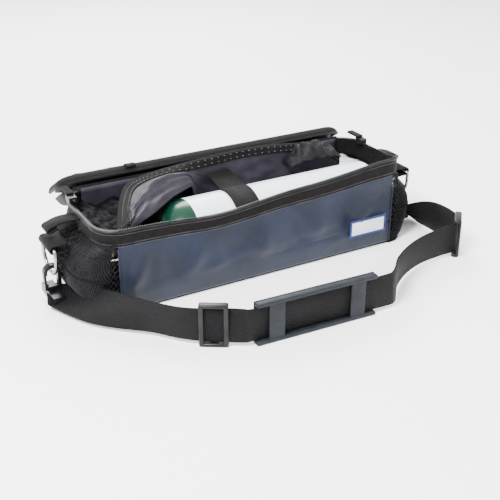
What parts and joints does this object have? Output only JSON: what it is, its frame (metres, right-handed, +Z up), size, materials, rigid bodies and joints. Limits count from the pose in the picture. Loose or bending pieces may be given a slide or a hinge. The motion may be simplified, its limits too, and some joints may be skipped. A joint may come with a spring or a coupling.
{
  "type": "oxygen cylinder shoulder bag",
  "caption": "Horizontal shoulder bag for a small gas cylinder: navy nylon body, mesh ends, zipped fold-back lid, padded lining, webbing shoulder strap with moulded pad.",
  "frame": {"origin": "middle of the flat base, on the surface it rests on", "axes": "+X along the bag to its right end, +Y to the rear, +Z up; the navy front faces -Y"},
  "size_m": [0.4853, 0.3116, 0.1095],
  "materials": {
    "navy_nylon": "woven satin nylon",
    "lining_nylon": "quilted nylon",
    "black_mesh": "open warp-knit mesh",
    "dark_binding": "knitted zip tape",
    "zip_coil": "moulded coil",
    "webbing": "ribbed polypropylene webbing",
    "stiffener_board": "sheet",
    "woven_label": "woven patch",
    "hook_and_loop": "hook tape",
    "black_acetal": "moulded",
    "pad_rubber": "moulded, matte",
    "cylinder_paint": "gloss enamel, white tube with green shoulder",
    "valve_brass": "turned",
    "red_seal": "moulded",
    "bright_steel": "nickel plated wire"
  },
  "bodies": {
    "root": {"front_panel": "navy_nylon", "front_lining": "lining_nylon", "rear_panel": "navy_nylon", "rear_lining": "lining_nylon", "base_panel": "navy_nylon", "base_board": "stiffener_board", "left_mesh_end": "black_mesh", "right_mesh_end": "black_mesh", "front_zip_band": "dark_binding", "rear_top_band": "dark_binding", "left_end_band": "dark_binding", "right_end_band": "dark_binding", "front_zip_chain": "zip_coil", "left_zip_chain": "zip_coil", "right_zip_chain": "zip_coil", "inner_sleeve": "lining_nylon", "label_patch": "woven_label", "hook_patch": "hook_and_loop", "left_ring_loop": "webbing", "right_ring_loop": "webbing", "left_end_tab": "dark_binding", "right_end_tab": "dark_binding", "left_swivel_eye": "black_acetal", "right_swivel_eye": "black_acetal", "strap_left_run": "webbing", "strap_pad_run": "webbing", "strap_right_run": "webbing", "strap_turn_run": "webbing", "strap_return_run": "webbing", "left_tri_glide": "black_acetal", "right_tri_glide": "black_acetal"},
    "lid_rear": {"lid_rear_half": "lining_nylon"},
    "lid_front": {"lid_front_half": "lining_nylon", "lid_zip_band": "dark_binding", "lid_zip_chain": "zip_coil"},
    "retainer": {"retaining_strap": "webbing"},
    "cylinder": {"cylinder_shell": "cylinder_paint", "post_valve": "valve_brass", "valve_seal": "red_seal", "packing_nut": "valve_brass"},
    "valve_stem": {"valve_stem": "bright_steel"},
    "left_d_ring": {"left_d_ring": "bright_steel"},
    "right_d_ring": {"right_d_ring": "bright_steel"},
    "left_hook": {"left_snap_hook": "black_acetal"},
    "right_hook": {"right_snap_hook": "black_acetal"},
    "left_gate": {"left_hook_gate": "bright_steel"},
    "right_gate": {"right_hook_gate": "bright_steel"},
    "left_slider": {"left_zip_slider": "bright_steel"},
    "right_slider": {"right_zip_slider": "bright_steel"},
    "left_pull": {"left_zip_pull": "dark_binding"},
    "right_pull": {"right_zip_pull": "dark_binding"},
    "shoulder_pad": {"shoulder_pad": "pad_rubber"}
  },
  "joints": [
    {"name": "lid_hinge", "type": "hinge", "parent": "root", "child": "lid_rear", "pos_m": [0, 0.061, 0.1048], "axis": [-1, 0, 0], "range_deg": [-207, 0]},
    {"name": "lid_fold", "type": "hinge", "parent": "lid_rear", "child": "lid_front", "pos_m": [0, 0.11383, 0.0743], "axis": [-1, 0, 0], "range_deg": [0, 177.43]},
    {"name": "retaining_strap_hinge", "type": "hinge", "parent": "root", "child": "retainer", "pos_m": [0, 0.051, 0.091], "axis": [-1, 0, 0], "range_deg": [0, 105]},
    {"name": "cylinder_turn", "type": "hinge", "parent": "root", "child": "cylinder", "pos_m": [0, 0, 0.04515], "axis": [1, 0, 0], "range_deg": [-90, 90]},
    {"name": "valve_stem_turn", "type": "hinge", "parent": "cylinder", "child": "valve_stem", "pos_m": [-0.111, 0, 0.04515], "axis": [-1, 0, 0], "range_deg": [0, 270]},
    {"name": "left_d_ring_swing", "type": "hinge", "parent": "root", "child": "left_d_ring", "pos_m": [-0.2314, 0, 0.07], "axis": [0, 1, 0], "range_deg": [0, 3]},
    {"name": "left_hook_swivel", "type": "hinge", "parent": "root", "child": "left_hook", "pos_m": [-0.2314, 0, 0.037], "axis": [0, 0, 1], "range_deg": [-12, 12]},
    {"name": "left_gate_open", "type": "hinge", "parent": "left_hook", "child": "left_gate", "pos_m": [-0.2394, 0, 0.0265], "axis": [0, 1, 0], "range_deg": [0, 30], "stiffness_Nm_per_rad": 0.02, "springref_deg": -17.19},
    {"name": "left_slider_run", "type": "slide", "parent": "root", "child": "left_slider", "axis": [0, -1, 0], "range_m": [0, 0.056]},
    {"name": "left_pull_flip", "type": "hinge", "parent": "left_slider", "child": "left_pull", "pos_m": [-0.1928, 0.032, 0.1083], "axis": [1, 0, 0], "range_deg": [0, 150]},
    {"name": "right_d_ring_swing", "type": "hinge", "parent": "root", "child": "right_d_ring", "pos_m": [0.2314, 0, 0.07], "axis": [0, -1, 0], "range_deg": [0, 3]},
    {"name": "right_hook_swivel", "type": "hinge", "parent": "root", "child": "right_hook", "pos_m": [0.2314, 0, 0.037], "axis": [0, 0, 1], "range_deg": [-12, 12]},
    {"name": "right_gate_open", "type": "hinge", "parent": "right_hook", "child": "right_gate", "pos_m": [0.2234, 0, 0.0265], "axis": [0, 1, 0], "range_deg": [0, 30], "stiffness_Nm_per_rad": 0.02, "springref_deg": -17.19},
    {"name": "right_slider_run", "type": "slide", "parent": "root", "child": "right_slider", "axis": [0, -1, 0], "range_m": [0, 0.056]},
    {"name": "right_pull_flip", "type": "hinge", "parent": "right_slider", "child": "right_pull", "pos_m": [0.1928, 0.032, 0.1083], "axis": [1, 0, 0], "range_deg": [0, 150]},
    {"name": "pad_slide", "type": "slide", "parent": "root", "child": "shoulder_pad", "axis": [0.999, -0.045, 0], "range_m": [-0.005, 0.005]}
  ],
  "couplings": [
    {"joint": "lid_fold", "follows": "lid_hinge", "ratio": -0.85714}
  ]
}
